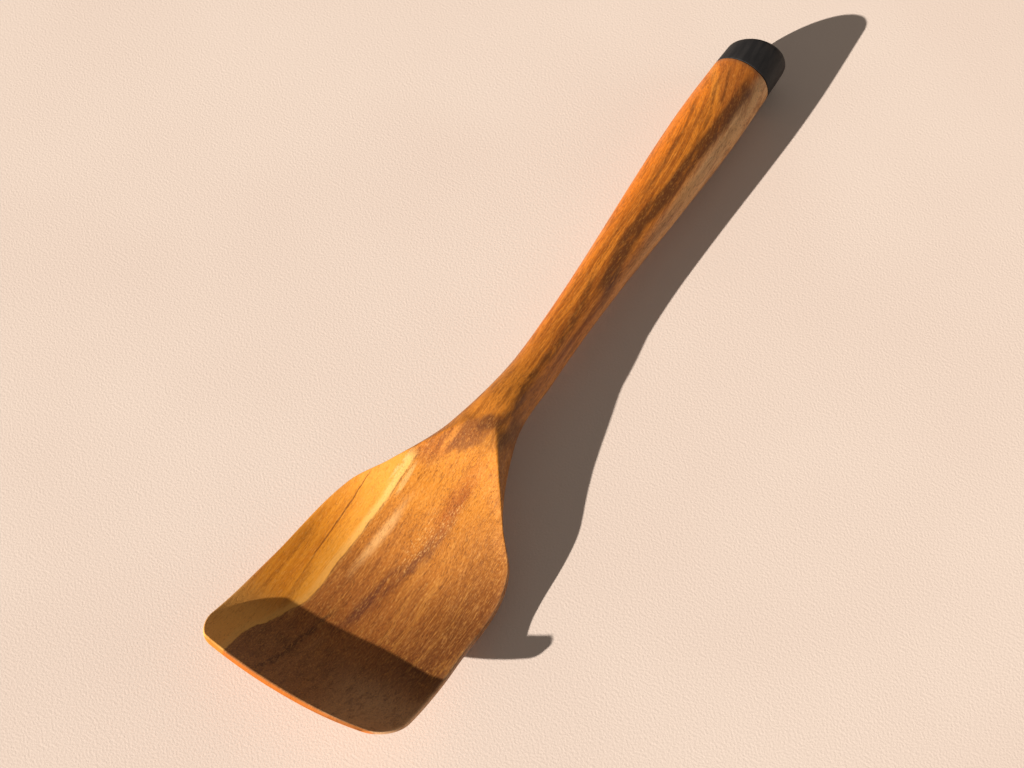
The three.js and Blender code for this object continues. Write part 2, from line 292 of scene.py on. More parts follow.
def half_chain(profile, flank, ease, scale):
    """One side of a chain: from half way down the flank over the eased edge to the middle.

    Gives its points, and how much of its length the flank and the eased edge take.
    """
    flank_points = [flank(0.5 * i / MEASURE_STEPS) for i in range(MEASURE_STEPS + 1)]
    length = sum(math.dist(a, b) for a, b in zip(flank_points, flank_points[1:]))
    most_of_flank, eased_length = 0.9, 1.6
    cut = min(ease, most_of_flank * length)
    flank_end = 0.5 * cut / length
    face_start = 1 - cut / scale
    points = [flank(lerp(0.5, flank_end, i / FLANK_STEPS)) for i in range(FLANK_STEPS)]
    points += eased(flank(0.0), flank(flank_end), profile(face_start))
    points += [
        profile(face_start * math.cos(math.pi / 2 * i / FINE_STEPS)) for i in range(1, FINE_STEPS + 1)
    ]
    return points, length - cut + eased_length * cut


def section(x, inset=0.0):
    """The upper and the lower chain of points of one cross-section, both from right to left."""
    oval = between(ROUNDING_START, ROUNDING_START + ROUNDING_LENGTH, x)
    sink = between(HEEL, HEEL + SINK_LENGTH, x)
    belly = between(BLADE_MIDDLE, HEEL, x)
    rounded = between(TIP - TIP_BLEND, TIP + TIP_BLEND, x)
    middle = top_at(x) - inset
    keel = middle - depth_at(x) + 2 * inset
    drift = drift_at(x) if x < NECK else 0.0
    twist = LIP_TWIST * towards_front(x) ** TWIST_FADE
    edge = lerp(RIM_THICKNESS - 2 * inset, OVAL_SIDE_FLAT, oval)
    half = width_at(x) / 2 - inset
    face_share = face_half_width(x, half) / half
    flank_turn = math.acos(min(1.0, face_share))
    under_power = lerp(DISH_POWER, BELLY_POWER, belly)
    ease = lerp(RIM_EASE, HANDLE_EASE, oval)
    upper, lower = [], []
    for side, dish_at, corner in (
        (-1, right_dish_at, RIGHT_CORNER_RADIUS), (1, left_dish_at, LEFT_CORNER_RADIUS),
    ):
        reach = half - corner_inset(x, corner)
        facing = max(0.0, FRONT + corner - x) / corner
        lean = FRONT_CUT * facing
        if side < 0:
            lean = max(lean, RIGHT_RIM_LEAN * (1 - between(SHOULDER, HEEL, x)))
        rim = middle + (dish_at(x) if x < THROAT else 0.0)
        widest = lerp(rim, (middle + keel + edge) / 2, sink)
        on_oval = widest + (middle - widest) * math.sin(flank_turn)
        arris = lerp(rim, on_oval, rounded)

        def flank_at(down):
            turn = flank_turn * (1 - down)
            climb = math.sin(turn) / math.sin(flank_turn) if flank_turn > 1e-6 else 1 - down
            out = reach * math.cos(turn) - lean * (1 - down)
            return out, widest + (arris - widest) * climb - edge * down

        def face_at(a):
            dished = lerp(arris, middle, 1 - abs(a) ** DISH_POWER)
            round_top = widest + (middle - widest) * math.sqrt(max(0.0, 1 - (a * face_share) ** 2))
            return (reach - lean) * a * face_share, lerp(dished, round_top, rounded)

        def under_at(a):
            bellied = 1 - abs(a) ** under_power
            share = lerp(bellied, math.sqrt(max(0.0, 1 - a * a)), oval)
            return reach * a, lerp(widest - edge, keel, share)

        for chain, profile, flank, scale in (
            (upper, face_at, flank_at, face_share),
            (lower, under_at, lambda down: flank_at(1 - down), 1.0),
        ):
            placed = []
            for y, z in spaced(*half_chain(profile, flank, ease, scale * reach)):
                off = front_reach(x, side * y) + cap_slant(x, side * y)
                height = max(0.0, z - twist * side * y / reach)
                placed.append((x - off, side * y + drift, height))
            chain += placed if side < 0 else placed[-2::-1]
    return upper, lower


def height_over(chain, y):
    """Height of a chain that runs from right to left at the place y, level beyond its ends."""
    for (_, y0, z0), (_, y1, z1) in zip(chain, chain[1:]):
        if y <= y1:
            return lerp(z0, z1, min(1.0, max(0.0, (y - y0) / max(1e-9, y1 - y0))))
    return chain[-1][2]


def cut_front(upper, lower, left, before):
    """Both chains of one cross-section with only a share of the thickness left above the underside.

    The upper one stays no lower than the upper chain before it, so no groove runs behind the edge.
    """
    if left >= 1:
        return upper, lower
    under = lower[FLANK_COUNT:-FLANK_COUNT]
    upper, lower = (
        [(x, y, lerp(height_over(under, y), z, left)) for x, y, z in chain] for chain in (upper, lower)
    )
    if before:
        upper = [(x, y, max(z, height_over(before, y))) for x, y, z in upper]
    return upper, lower


def ring(upper, lower):
    """One closed loop of points: the upper chain, then back along the lower one."""
    return [Vector(p) * MM for p in upper + lower[-2:0:-1]]


def add_ring(mesh, points):
    return [mesh.verts.new(p) for p in points]


def join_rings(mesh, rings):
    """Faces from each ring of points to the next one."""
    for first, second in zip(rings, rings[1:]):
        for i in range(len(first)):
            j = (i + 1) % len(first)
            mesh.faces.new((first[i], second[i], second[j], first[j]))


def close_front(mesh, loop, upper_count):
    """Faces over the front of a loft, between its upper and lower chains, with sharp edges."""
    count = len(loop)
    for i in range(upper_count - 1):
        corners = [loop[i], loop[i + 1], loop[(count - i - 1) % count], loop[(count - i) % count]]
        mesh.faces.new(list(dict.fromkeys(corners)))
    for i in range(count):
        mesh.edges.get((loop[i], loop[(i + 1) % count])).smooth = False


def bored_end(mesh, loop, x, depth):
    """A flat face round a blind bore for the dowel, going from the end at x to x + depth."""
    faces_cap = depth < 0
    centre = Vector((x * MM, 0.0, DOWEL_HEIGHT * MM))
    circle = []
    for vertex in loop:
        out = vertex.co - centre
        out.x = 0
        circle.append(centre + out.normalized() * BORE_RADIUS * MM)
    rings = [loop, add_ring(mesh, [(v.co + c) / 2 for v, c in zip(loop, circle)])]
    for share in (0.0, 0.5, 1.0):
        rings.append(add_ring(mesh, [c + Vector((share * depth * MM, 0, 0)) for c in circle]))
    join_rings(mesh, rings if faces_cap else rings[::-1])
    bottom = mesh.verts.new(centre + Vector((depth * MM, 0, 0)))
    last = rings[-1]
    for i in range(len(last)):
        corners = (last[i], bottom, last[(i + 1) % len(last)])
        mesh.faces.new(corners if faces_cap else corners[::-1])


def to_object(name, mesh, marks):
    """A smooth object from a mesh, with marks on its points that its finish reads."""
    bmesh.ops.recalc_face_normals(mesh, faces=mesh.faces)
    data = bpy.data.meshes.new(name)
    for face in mesh.faces:
        face.smooth = True
    mesh.to_mesh(data)
    mesh.free()
    for mark_name, value_of in marks.items():
        values = data.attributes.new(mark_name, "FLOAT", "POINT").data
        for vertex in data.vertices:
            values[vertex.index].value = value_of(vertex.co / MM, vertex.index)
    piece = bpy.data.objects.new(name, data)
    bpy.context.scene.collection.objects.link(piece)
    return piece


def hollow(x, y, z, sizes, shift=0.0):
    return noise.noise(Vector((x / sizes[0] + shift, y / sizes[1], z / sizes[2])))


def carve(mesh):
    """Shallow hollows from carving and sanding, always inwards and never at the sole or the seam."""
    mesh.normal_update()
    for vertex in mesh.verts:
        x, y, z = vertex.co / MM
        long_wave = hollow(x, y, z, LONG_HOLLOW)
        short_wave = hollow(x, y, z, SHORT_HOLLOW, SHORT_HOLLOW_SHIFT)
        depth = CARVING_DEPTH * (0.5 + 0.35 * long_wave + 0.25 * short_wave)
        depth *= between(*SOLE_FADE, z) * (1 - between(*SEAM_FADE, x))
        depth *= between(*FRONT_FADE, behind_front(x, y))
        vertex.co -= vertex.normal * max(0.0, depth) * MM


def blade_places():
    """Places along X of the cross-sections, closest together where the shape turns fastest."""
    corner = max(LEFT_CORNER_RADIUS, RIGHT_CORNER_RADIUS)
    turns = [math.pi / 2 * i / CORNER_STEPS for i in range(CORNER_STEPS + 1)]
    places = [FRONT + FRONT_GAP + corner * (1 - math.cos(turn)) for turn in turns]
    for end, step in (
        (SHOULDER - 4, 2.6), (TIP + 10, 1.35), (NECK, 2.8), (SEAM - 6, 4.5), (SEAM - SEAM_EASE, 2.0),
    ):
        start = places[-1]
        count = max(1, round((end - start) / step))
        places += [lerp(start, end, (i + 1) / count) for i in range(count)]
    return places


def carved_blade_and_handle():
    mesh = bmesh.new()
    loops = []
    upper = None
    for x in blade_places():
        upper, lower = cut_front(*section(x), front_thickness(x), upper)
        loops.append(add_ring(mesh, ring(upper, lower)))
    for back, inset in ((0.08, 0.07), (0.0, SEAM_EASE)):
        loops.append(add_ring(mesh, ring(*section(SEAM - back, inset))))
    join_rings(mesh, loops)
    count, upper_count = len(loops[0]), len(upper)
    close_front(mesh, loops[0], upper_count)
    carve(mesh)
    bored_end(mesh, loops[-1], SEAM, -BORE_IN_HANDLE)

    def worn_edge_of(co, index):
        if index >= count * len(loops):
            return 0.0
        i = index % count
        from_side = min(i, abs(upper_count - 1 - i), count - i)
        on_rim = 1 - between(FLANK_COUNT - 2, FLANK_COUNT + 1, from_side)
        on_rim *= 1 - between(*RIM_WEAR_END, co.x)
        on_rim *= between(*FRONT_WEAR, behind_front(co.x, co.y))
        return max(on_rim, between(*SEAM_WEAR, co.x))

    def end_grain_of(co, index):
        return 1.0 if index < CUT_RINGS * count else 0.0

    return to_object("blade_and_handle", mesh, {"worn_edge": worn_edge_of, "end_grain": end_grain_of})


def end_cap():
    mesh = bmesh.new()
    stations = [(CAP_START, CAP_SEAM_EASE), (CAP_START + 0.04, 0.03), (CAP_START + SEAM_EASE, 0.0)]
    straight_end = CAP_END - CAP_EDGE_RADIUS - CAP_CROWN
    for i in range(1, CAP_STEPS):
        stations.append((lerp(CAP_START + SEAM_EASE, straight_end, i / CAP_STEPS), 0.0))
    round_start = len(stations)
    for i in range(CAP_EDGE_STEPS + 1):
        turn = math.pi / 2 * i / CAP_EDGE_STEPS
        place = straight_end + CAP_EDGE_RADIUS * math.sin(turn)
        stations.append((place, CAP_EDGE_RADIUS * (1 - math.cos(turn))))
    round_end = len(stations) - 1
    loops = [add_ring(mesh, ring(*section(x, inset))) for x, inset in stations]
    rim = [v.co.copy() for v in loops[-1]]
    centre = sum(rim, Vector()) / len(rim)
    for share in (0.82, 0.6, 0.35, 0.15):
        swell = Vector((CAP_CROWN * (1 - share ** 2) * MM, 0, 0))
        loops.append(add_ring(mesh, [centre.lerp(p, share) + swell for p in rim]))
    join_rings(mesh, loops)
    top = mesh.verts.new(centre + Vector((CAP_CROWN * MM, 0, 0)))
    last = loops[-1]
    for i in range(len(last)):
        mesh.faces.new((last[i], top, last[(i + 1) % len(last)]))
    bored_end(mesh, loops[0], CAP_START, BORE_IN_CAP)

    # The rounded end of the cap, worn, where its lighter colour is partly a painted highlight
    def worn_edge_of(co, index):
        station = index // len(rim)
        fades_in = between(round_start + 1, round_start + 4, station)
        return fades_in * (1 - between(round_end, round_end + 2, station))

    return to_object("horn_cap", mesh, {"worn_edge": worn_edge_of})


# Shader nodes

def put(tree, kind, inputs=None, **settings):
    """Adds a node, sets it up, and gives its inputs plain values or links."""
    made = tree.nodes.new(kind)
    for name, value in settings.items():
        setattr(made, name, value)
    for name, value in (inputs or {}).items():
        give(tree, made.inputs[name], value)
    return made


def give(tree, socket, value):
    if isinstance(value, bpy.types.NodeSocket):
        tree.links.new(value, socket)
    else:
        socket.default_value = value


def sums(tree, operation, a, b=0.0):
    """One step of arithmetic on values."""
    made = put(tree, "ShaderNodeMath", operation=operation)
    for socket, value in zip(made.inputs, (a, b)):
        give(tree, socket, value)
    return made.outputs[0]


def add(tree, *values):
    return reduce(lambda a, b: sums(tree, "ADD", a, b), values)


def times(tree, *values):
    return reduce(lambda a, b: sums(tree, "MULTIPLY", a, b), values)


def rise(tree, value, low, high, to_low=0.0, to_high=1.0):
    """A smooth step of a value from one level to another."""
    made = put(
        tree, "ShaderNodeMapRange",
        {"Value": value, "From Min": low, "From Max": high, "To Min": to_low, "To Max": to_high},
        interpolation_type="SMOOTHSTEP",
    )
    return made.outputs["Result"]


def tint(tree, share, under, over):
    """Lays one colour over another by a share."""
    made = put(tree, "ShaderNodeMix", data_type="RGBA")
    for index, value in ((0, share), (6, under), (7, over)):
        give(tree, made.inputs[index], value)
    return made.outputs[2]


def tint_value(tree, share, under, over):
    """Lays one value over another by a share."""
    made = put(tree, "ShaderNodeMapRange", {"Value": share, "To Min": under, "To Max": over})
    return made.outputs["Result"]


def stretch(tree, place, sizes, shift):
    """A place in millimetres, counted in patches of the given sizes."""
    made = put(tree, "ShaderNodeMapping", {
        "Vector": place, "Location": shift, "Scale": tuple(1 / s for s in sizes),
    })
    return made.outputs["Vector"]


def cloud(tree, place, sizes, shift=(0.0, 0.0, 0.0), detail=2.0, roughness=0.5, warp=0.0):
    """Soft noise with patches of the given sizes in millimetres."""
    made = put(tree, "ShaderNodeTexNoise", {
        "Vector": stretch(tree, place, sizes, shift), "Scale": 1.0,
        "Detail": detail, "Roughness": roughness, "Distortion": warp,
    })
    return made.outputs["Fac"]


def wander(tree, along, points):
    """A value that follows a drawn line over the length of the turner."""
    span_start, span_end = -100.0, 250.0
    low = min(v for _, v in points) - 1.0
    high = max(v for _, v in points) + 1.0
    share = put(tree, "ShaderNodeMapRange", {
        "Value": along, "From Min": span_start, "From Max": span_end,
    }).outputs["Result"]
    line = put(tree, "ShaderNodeFloatCurve", {"Value": share})
    curve = line.mapping.curves[0]
    spots = [((x - span_start) / (span_end - span_start), (v - low) / (high - low)) for x, v in points]
    while len(curve.points) < len(spots):
        curve.points.new(0.5, 0.5)
    for point, (x, v) in zip(curve.points, sorted(spots)):
        point.location = (x, v)
        point.handle_type = "AUTO"
    line.mapping.update()
    return put(tree, "ShaderNodeMapRange", {
        "Value": line.outputs["Value"], "To Min": low, "To Max": high,
    }).outputs["Result"]


def band(tree, value, centre, width, softness):
    """1 within half a width of a centre line, fading over the softness."""
    away = sums(tree, "ABSOLUTE", sums(tree, "SUBTRACT", value, centre))
    return rise(tree, away, width / 2 + softness, width / 2)


def colour(red, green, blue):
    """A colour as seen on a screen, turned into light."""
    def light(c):
        c /= 255
        return c / 12.92 if c <= 0.04045 else ((c + 0.055) / 1.055) ** 2.4
    return light(red), light(green), light(blue), 1.0


def new_group(name, inputs, outputs):
    """An empty shared effect with named sockets, and the two ends of it."""
    tree = bpy.data.node_groups.new(name, "ShaderNodeTree")
    for socket, kind, value in inputs:
        made = tree.interface.new_socket(socket, in_out="INPUT", socket_type=kind)
        if value is not None:
            made.default_value = value
    for socket in outputs:
        tree.interface.new_socket(socket, in_out="OUTPUT", socket_type="NodeSocketFloat")
    return tree, tree.nodes.new("NodeGroupInput"), tree.nodes.new("NodeGroupOutput")


def use(tree, group, **inputs):
    """Places a shared effect, with an underscore for each space in the names of its inputs."""
    made = tree.nodes.new("ShaderNodeGroup")
    made.node_tree = group
    for name, value in inputs.items():
        give(tree, made.inputs[name.replace("_", " ")], value)
    return made.outputs


def wood_fibres():
    """Fibres, lines, pores and flecks that run along X, in any wood."""
    tree, start, end = new_group(
        "wood fibres",
        [("Place", "NodeSocketVector", None), ("Pore Width", "NodeSocketFloat", 0.28)],
        ["Streaks", "Lines", "Pores", "Flecks", "Grain", "Height"],
    )
    place, pore_width = start.outputs["Place"], start.outputs["Pore Width"]
    broad = cloud(tree, place, (55, 2.6, 4))
    fine = cloud(tree, place, (16, 0.7, 1.1), (3.1, 5.7, 1.3), detail=3, roughness=0.6)
    streaks = add(tree, times(tree, broad, 0.55), times(tree, fine, 0.45))
    lines = cloud(tree, place, (17, 0.55, 1.2), (6.4, 1.1, 8.2), detail=3, roughness=0.55)
    pore_sizes = put(tree, "ShaderNodeCombineXYZ", {
        "X": times(tree, pore_width, 7.0), "Y": pore_width, "Z": pore_width,
    }).outputs[0]
    narrow = put(tree, "ShaderNodeVectorMath", operation="DIVIDE")
    give(tree, narrow.inputs[0], place)
    give(tree, narrow.inputs[1], pore_sizes)
    pore_noise = put(tree, "ShaderNodeTexNoise", {
        "Vector": narrow.outputs[0], "Scale": 1.0, "Detail": 1.5, "Roughness": 0.5,
    }).outputs["Fac"]
    clusters = cloud(tree, place, (22, 3.4, 5), (1.7, 9.2, 4.4), detail=1)
    pores = times(tree, rise(tree, pore_noise, 0.56, 0.68), rise(tree, clusters, 0.3, 0.62))
    fleck_noise = cloud(tree, place, (1.3, 0.42, 0.6), (8.3, 2.2, 6.1), roughness=0.6)
    flecks = times(tree, rise(tree, fleck_noise, 0.54, 0.7), rise(tree, clusters, 0.66, 0.4))
    grain = cloud(tree, place, (2.0, 0.38, 0.5), (5.2, 3.3, 0.4), roughness=0.6)
    height = add(tree, times(tree, fine, 0.5), times(tree, pores, -0.55), times(tree, grain, 0.4))
    for socket, value in zip(end.inputs, (streaks, lines, pores, flecks, grain, height)):
        tree.links.new(value, socket)
    return tree


def worn_edges():
    """A broken mask along edges that hands and pans have rubbed."""
    tree, start, end = new_group(
        "worn edges", [("Place", "NodeSocketVector", None), ("Edge", "NodeSocketFloat", 0.0)], ["Wear"],
    )
    patches = cloud(tree, start.outputs["Place"], (7, 2.5, 2.5), detail=3, roughness=0.65)
    wear = times(tree, start.outputs["Edge"], rise(tree, patches, 0.24, 0.56))
    tree.links.new(wear, end.inputs["Wear"])
    return tree


def hand_polish():
    """Smudges of oil and polish from handling: a value from 0, dry, to 1, glossy."""
    tree, start, end = new_group("hand polish", [("Place", "NodeSocketVector", None)], ["Polish"])
    place = start.outputs["Place"]
    broad = cloud(tree, place, (26, 14, 14), (4.4, 1.9, 7.3))
    small = cloud(tree, place, (4, 3, 3), (0.7, 6.1, 2.8), detail=3, roughness=0.6)
    polish = add(tree, times(tree, broad, 0.7), times(tree, small, 0.3))
    tree.links.new(rise(tree, polish, 0.3, 0.7), end.inputs["Polish"])
    return tree


FIBRES = wood_fibres()
WORN = worn_edges()
POLISH = hand_polish()


def new_finish(name):
    """A material with its shader and the place on the object in millimetres."""
    material = bpy.data.materials.new(name)
    material.use_nodes = True
    tree = material.node_tree
    shader = tree.nodes["Principled BSDF"]
    spot = put(tree, "ShaderNodeTexCoord").outputs["Object"]
    scaled = put(tree, "ShaderNodeVectorMath", operation="SCALE")
    tree.links.new(spot, scaled.inputs[0])
    scaled.inputs["Scale"].default_value = 1 / MM
    return material, tree, shader, scaled.outputs[0]


def mark(tree, name):
    return put(tree, "ShaderNodeAttribute", attribute_name=name).outputs["Fac"]


def bump(tree, shader, height, depth):
    made = put(tree, "ShaderNodeBump", {"Height": height, "Distance": depth})
    tree.links.new(made.outputs["Normal"], shader.inputs["Normal"])


# Lines of the wood's figure, as places along X and across it in millimetres
SAP_LINE = (
    (-100, 31.5), (-92, 30.6), (-86, 31), (-80, 30), (-76, 27.6), (-72, 26), (-67, 24.2), (-63, 22.3),
    (-58, 21), (-52, 20.6), (-46, 20.9), (-35, 20.3), (-22, 19.4), (-10, 18.3), (0, 17.8), (30, 17),
)
SAP_DARK_LINE = ((-62, 28.2), (-50, 28.9), (-40, 29.3), (-28, 29.5), (-15, 29.4), (-4, 29.2))
SAP_SMEAR = ((-72, 26.8), (-62, 27.2), (-52, 27.8), (-44, 28.4))
SAP_EDGE_LINE = ((-76, 36.8), (-60, 36.2), (-45, 36), (-24, 36.4))
PALE_LINES = (
    ((-18, 19.9), (-4, 19.7), (6, 19.2), (16, 17.4)),
    ((-10, 21.6), (0, 20.8), (10, 18.4), (18, 15.4)),
)
PURPLE_LINE = (
    (-68, 8), (-62, 5.8), (-55, 3.5), (-47, 2.3), (-42, 1.3), (-38, 0.6), (-33, -1), (-30, -3),
    (-25, -4.5), (-15, -5.8), (-5, -6.3), (10, -5),
)
FRONT_STREAK = ((-96, 19.5), (-90, 17.5), (-86, 15.6), (-80, 15.2), (-74, 14), (-65, 12.3), (-54, 9.5))
FRONT_PALE_STREAK = ((-96, 14), (-90, 12.6), (-84, 11), (-76, 9.4), (-64, 7))
FACE_EDGE_LINE = ((2, -26.6), (6, -22.4), (10, -18.4), (15, -14.6), (20, -11), (25, -7.8), (33, -4))
GRIP_STREAK = (
    (22, -2.6), (30, -3.8), (38, -4.6), (48, -3.4), (58, -3), (70, -3.8), (80, -3.4), (90, -2.2), (97, -1),
    (108, 0.6),
)
HAND_STREAK = (
    (92, -6.4), (106, -5), (112, -4.2), (120, -3.4), (130, -2.8), (140, -3.6), (150, -4.8), (165, -5.2),
    (180, -6), (195, -6.6), (226, -7.2),
)
THIN_STREAKS = (
    ((112, -1.1), (118, -0.8), (128, -0.5), (140, -1.2), (150, -0.8)),
    ((146, 2.2), (165, 3.4), (178, 4.2), (190, 6), (202, 9)),
    ((172, -3.2), (190, -1.6), (198, 0.4), (206, 3.4), (218, 6)),
    ((196, -3.4), (206, -1), (214, 1.8), (224, 4.6)),
)
END_LINE = ((180, -14), (192, -8), (198, -4), (204, 0.5), (209, 3.1), (216, 7), (224, 11.4), (240, 20))
FLOW_LINE = ((-100, 0), (120, 0), (150, 0.5), (170, 1.8), (185, 3.5), (200, 6.5), (212, 10), (226, 14))


class Figure:
    """Places and patterns in the turner's wood, and ways to lay tones of wood over one another."""

    def __init__(self, tree, place):
        self.tree = tree
        axes = put(tree, "ShaderNodeSeparateXYZ", {"Vector": place}).outputs
        self.along, self.across = axes["X"], axes["Y"]
        self.sway = add(tree, cloud(tree, place, (30, 14, 14)), -0.5)
        waves = cloud(tree, place, (8, 2.4, 3), (2.2, 4.8, 9.1), detail=3, roughness=0.6)
        self.ripple = add(tree, waves, -0.5)
        self.drawn = add(tree, self.across, times(tree, self.ripple, 1.4))
        # The grain follows the blade and handle, and turns aside near the cap
        turned = sums(tree, "SUBTRACT", self.across, wander(tree, self.along, FLOW_LINE))
        grain_place = put(tree, "ShaderNodeCombineXYZ", {
            "X": self.along, "Y": add(tree, turned, times(tree, self.sway, 3.0)), "Z": axes["Z"],
        }).outputs[0]
        self.fibres = use(tree, FIBRES, Place=grain_place)
        self.mottle = cloud(tree, grain_place, (11, 2.2, 2.6), (9.4, 1.2, 5.0), detail=4, roughness=0.62)
        self.dashes = cloud(tree, grain_place, (5, 1.1, 1.4), (1.9, 7.7, 3.3), detail=3, roughness=0.6)
        # The front of the blade and its lip lie in the lip's cast shadow: the pale tones laid by these
        # masks are painted light there
        self.front = self.over_length(-60, -74)
        self.lip = self.over_length(-68, -80)

    def lay(self, wood, tone, strength, *shares):
        """The wood with a tone laid over it, where the shares let it through."""
        return tint(self.tree, times(self.tree, *shares, strength), wood, colour(*tone))

    def over_length(self, start, end, at_start=0.0, at_end=1.0):
        return rise(self.tree, self.along, start, end, at_start, at_end)

    def over_width(self, start, end, at_start=0.0, at_end=1.0):
        return rise(self.tree, self.across, start, end, at_start, at_end)

    def fibre(self, name, low, high):
        return rise(self.tree, self.fibres[name], low, high)

    def mottled(self, low, high, least=0.0):
        """Breaks a tone into patches."""
        return rise(self.tree, self.mottle, low, high, least)

    def broken(self, low=0.38, high=0.58, least=0.0):
        """Breaks a tone into dashes along the grain."""
        return rise(self.tree, self.dashes, low, high, least)

    def trail(self, points, width, softness, fade=8.0):
        """1 along a drawn line, fading to 0 beside it and towards both its ends."""
        line = band(self.tree, self.drawn, wander(self.tree, self.along, points), width, softness)
        first, last = points[0][0], points[-1][0]
        ends = self.over_length(first, first + fade), self.over_length(last, last - fade)
        return times(self.tree, line, *ends)

    def blotch(self, centre, radii, lean, edge):
        """1 inside a leaning oval of the top, fading to 0 over its edge."""
        tree = self.tree
        turn = math.radians(lean)
        forth = add(tree, self.along, -centre[0])
        aside = add(tree, self.across, -centre[1])
        reaches = []
        for a, b, radius in (
            (math.cos(turn), math.sin(turn), radii[0]), (-math.sin(turn), math.cos(turn), radii[1]),
        ):
            reach = add(tree, times(tree, forth, a / radius), times(tree, aside, b / radius))
            reaches.append(times(tree, reach, reach))
        away = sums(tree, "SQRT", add(tree, *reaches))
        away = add(tree, away, times(tree, self.ripple, 0.9))
        return rise(tree, away, 1 + edge, 1 - edge)


def heartwood(figure):
    """Golden by the neck, browner towards the front and the right, with one purple streak."""
    tree, lay = figure.tree, figure.lay
    forward = rise(tree, add(tree, figure.along, times(tree, figure.sway, 26.0)), 2, -52)
    heart = tint(tree, forward, colour(208, 126, 36), colour(165, 94, 38))
    rightward = rise(tree, add(tree, figure.across, times(tree, figure.sway, 10.0)), -3, -32)
    fades = figure.over_length(12, -44, 0.35), figure.over_length(-90, -66, 0.4)
    heart = lay(heart, (118, 64, 25), 0.9, rightward, *fades)

    # Streaks and lines along the grain
    heart = lay(heart, (122, 63, 22), 0.4, figure.fibre("Streaks", 0.52, 0.66))
    heart = lay(heart, (216, 144, 62), 0.36, figure.fibre("Streaks", 0.47, 0.34))
    more_on_right = figure.over_width(6, -10, 0.15, 0.32)
    heart = lay(heart, (206, 140, 74), more_on_right, figure.fibre("Lines", 0.54, 0.68))
    heart = lay(heart, (108, 58, 22), 0.4, figure.fibre("Lines", 0.46, 0.33))

    # The purple streak, the redder wood at its end, pale flecks with a painted sheen laid over them, and
    # pale streaks
    purple = figure.trail(PURPLE_LINE, 1.8, 3.4, 14.0)
    fades = figure.over_length(8, -34, 0.35), figure.mottled(0.4, 0.6, 0.35)
    heart = lay(heart, (104, 54, 34), 0.8, purple, *fades)
    red_patch = figure.blotch((-2, -4.4), (13, 3.4), -4, 0.7)
    heart = lay(heart, (158, 72, 22), 0.6, red_patch, figure.broken(0.3, 0.6, 0.4))
    flecks_and_sheen_patch = figure.blotch((-16, -2.6), (15, 4.0), -12, 0.6)
    heart = lay(heart, (238, 178, 108), 0.9, flecks_and_sheen_patch, figure.fibres["Flecks"])
    pale_patch = figure.blotch((-25, 13), (12, 1.7), -6, 0.75)
    heart = lay(heart, (234, 172, 104), 0.8, pale_patch, figure.broken(0.3, 0.5, 0.55))
    heart = lay(heart, (208, 142, 78), 0.4, figure.blotch((-42, 14), (3.5, 1.0), -2, 0.6))
    heart = lay(heart, (230, 174, 100), 0.75, figure.blotch((-3.5, 16.2), (6.5, 0.9), -2, 0.4))

    # Painted light: paler, greyer tones towards the front and on the lip, where the lip's shadow falls,
    # lighten that shadow; then darker patches and streaks of the figure there
    heart = lay(heart, (176, 116, 68), figure.over_width(4, -24, 0.3, 0.75), figure.front)
    heart = lay(heart, (150, 114, 80), 0.22, figure.lip)
    heart = lay(heart, (204, 152, 106), 0.75, figure.lip, figure.over_width(2, -22))
    heart = lay(heart, (98, 58, 32), 0.4, figure.front, figure.mottled(0.48, 0.64))
    heart = lay(heart, (84, 46, 26), 0.75, figure.trail(FRONT_STREAK, 0.9, 1.5), figure.broken())
    pale_streak = figure.trail(FRONT_PALE_STREAK, 1.0, 1.8)
    return lay(heart, (190, 126, 74), 0.5, pale_streak, figure.broken(0.36, 0.6))


def sapwood(figure):
    """Golden, lighter beside the heartwood and towards the neck, with thin dark lines."""
    tree, lay = figure.tree, figure.lay
    sap = tint(tree, figure.fibre("Streaks", 0.4, 0.62), colour(230, 142, 36), colour(210, 122, 26))
    sap = lay(sap, (234, 154, 52), 0.6, rise(tree, figure.drawn, 29, 25.5))
    sap = lay(sap, (240, 168, 70), 0.45, figure.over_length(-34, 2))
    # Painted light: paler sapwood towards the front and on the lip, where the lip's shadow falls, to
    # lighten that shadow
    sap = lay(sap, (232, 166, 86), 0.45, figure.front)
    sap = lay(sap, (252, 174, 82), 0.75, figure.lip)
    sap = lay(sap, (188, 102, 20), 0.4, figure.fibre("Lines", 0.54, 0.7))
    dark_line = figure.trail(SAP_DARK_LINE, 0.14, 0.34)
    sap = lay(sap, (118, 58, 12), 0.8, dark_line, figure.over_length(-62, -30, 0.3))
    sap = lay(sap, (158, 86, 20), 0.4, figure.trail(SAP_SMEAR, 1.0, 1.3))
    sap = lay(sap, (150, 80, 16), 0.5, figure.trail(SAP_EDGE_LINE, 0.4, 0.8), figure.broken())
    for points in PALE_LINES:
        sap = lay(sap, (236, 186, 114), 0.75, figure.trail(points, 0.5, 0.6), figure.broken(0.34, 0.5))
    return sap


def blade_wood(figure):
    """Heartwood with sapwood on its left, a bright band where they meet, and the share of sapwood."""
    tree = figure.tree
    from_sap = sums(tree, "SUBTRACT", figure.drawn, wander(tree, figure.along, SAP_LINE))
    in_sap = rise(tree, from_sap, -0.3, 0.3)
    blade = tint(tree, in_sap, heartwood(figure), sapwood(figure))
    stronger_at_neck = figure.over_length(-50, -8, 0.35, 0.85)
    blade = figure.lay(blade, (246, 186, 100), stronger_at_neck, band(tree, from_sap, 1.0, 0.8, 1.8))
    dark_line = band(tree, from_sap, -0.2, 0.2, 0.45)
    return figure.lay(blade, (116, 60, 20), 0.55, dark_line, figure.broken()), in_sap


